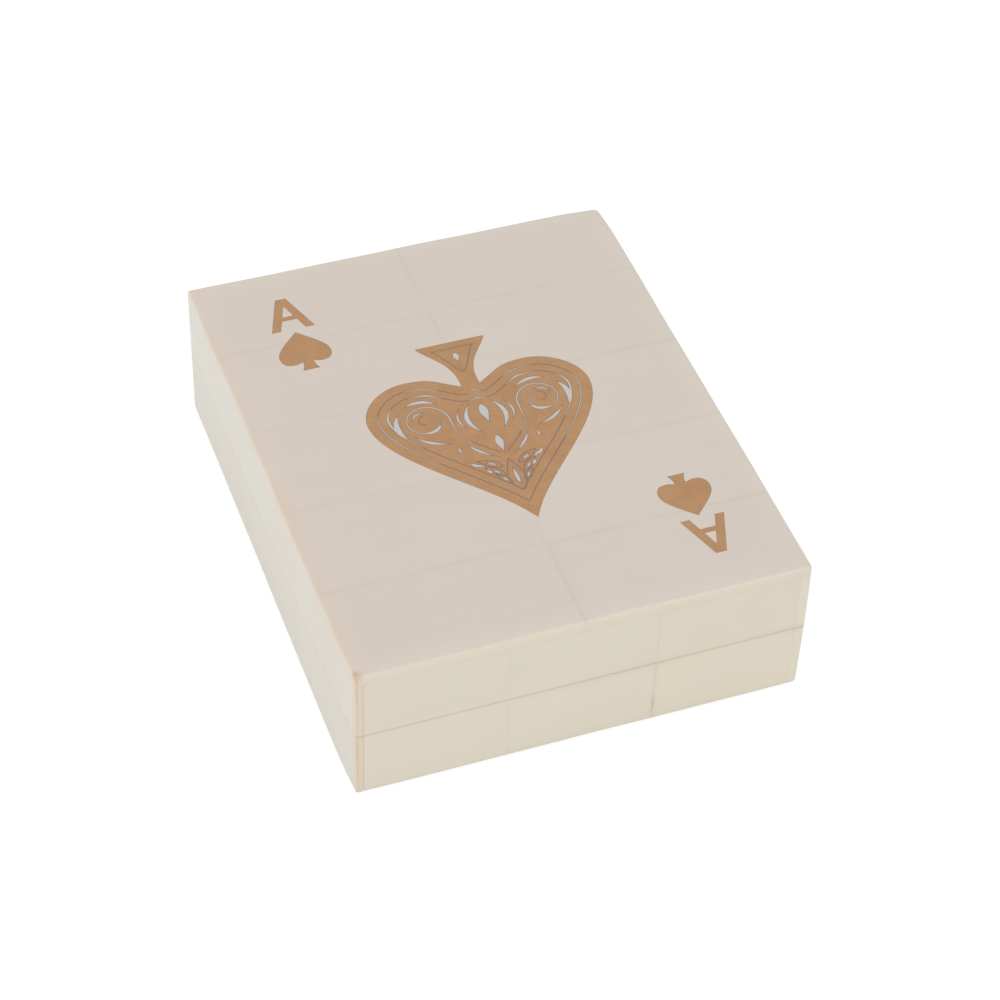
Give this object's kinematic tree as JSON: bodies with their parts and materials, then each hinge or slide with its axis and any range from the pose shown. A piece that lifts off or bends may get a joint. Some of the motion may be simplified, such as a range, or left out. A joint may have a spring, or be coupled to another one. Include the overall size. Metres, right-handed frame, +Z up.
{
  "type": "playing card box",
  "caption": "Flat playing card box with a lift-off lid, clad in pale bone tiles, with an ace of spades card design inlaid in brass on the lid and felt-floored deck wells inside.",
  "frame": {"origin": "centre of the underside of the closed box", "axes": "+X to the right along the box's width, +Y to the back along its length, +Z up; the large spade's point is towards -Y"},
  "size_m": [0.12, 0.149, 0.043],
  "materials": {
    "bone": "hand-polished bone with a soft satin sheen, faint grain and fine glue lines between tiles",
    "core_wood": "plain sawn core board, seen only on the rims and inside the lid",
    "liner_wood": "stained hardwood with a thin satin varnish",
    "felt": "short-pile wool felt",
    "inlay_brass": "matte, finely grained brass, flush with the bone"
  },
  "bodies": {
    "base": {"base_back_tile_1": "bone", "base_back_tile_2": "bone", "base_back_tile_3": "bone", "base_board": "core_wood", "base_front_tile_1": "bone", "base_front_tile_2": "bone", "base_front_tile_3": "bone", "base_left_tile_1": "bone", "base_left_tile_2": "bone", "base_left_tile_3": "bone", "base_right_tile_1": "bone", "base_right_tile_2": "bone", "base_right_tile_3": "bone", "base_wall_back": "core_wood", "base_wall_front": "core_wood", "base_wall_left": "core_wood", "base_wall_right": "core_wood", "deck_felt_back": "felt", "deck_felt_front": "felt", "divider": "liner_wood", "liner_back": "liner_wood", "liner_front": "liner_wood", "liner_left": "liner_wood", "liner_right": "liner_wood", "underside_felt": "felt"},
    "lid": {"letter_inlay_back_left": "inlay_brass", "letter_inlay_front_right": "inlay_brass", "lid_back_tile_1": "bone", "lid_back_tile_2": "bone", "lid_back_tile_3": "bone", "lid_board": "core_wood", "lid_felt": "felt", "lid_front_tile_1": "bone", "lid_front_tile_2": "bone", "lid_front_tile_3": "bone", "lid_left_tile_1": "bone", "lid_left_tile_2": "bone", "lid_left_tile_3": "bone", "lid_right_tile_1": "bone", "lid_right_tile_2": "bone", "lid_right_tile_3": "bone", "lid_wall_back": "core_wood", "lid_wall_front": "core_wood", "lid_wall_left": "core_wood", "lid_wall_right": "core_wood", "pip_inlay_back_left": "inlay_brass", "pip_inlay_front_right": "inlay_brass", "spade_inlay": "inlay_brass", "top_tile_left_1": "bone", "top_tile_left_2": "bone", "top_tile_left_3": "bone", "top_tile_left_4": "bone", "top_tile_left_5": "bone", "top_tile_right_1": "bone", "top_tile_right_2": "bone", "top_tile_right_3": "bone", "top_tile_right_4": "bone", "top_tile_right_5": "bone"}
  },
  "joints": [
    {"name": "lid_lift", "type": "slide", "parent": "base", "child": "lid", "axis": [0, 0, 1], "range_m": [0, 0.06]}
  ]
}
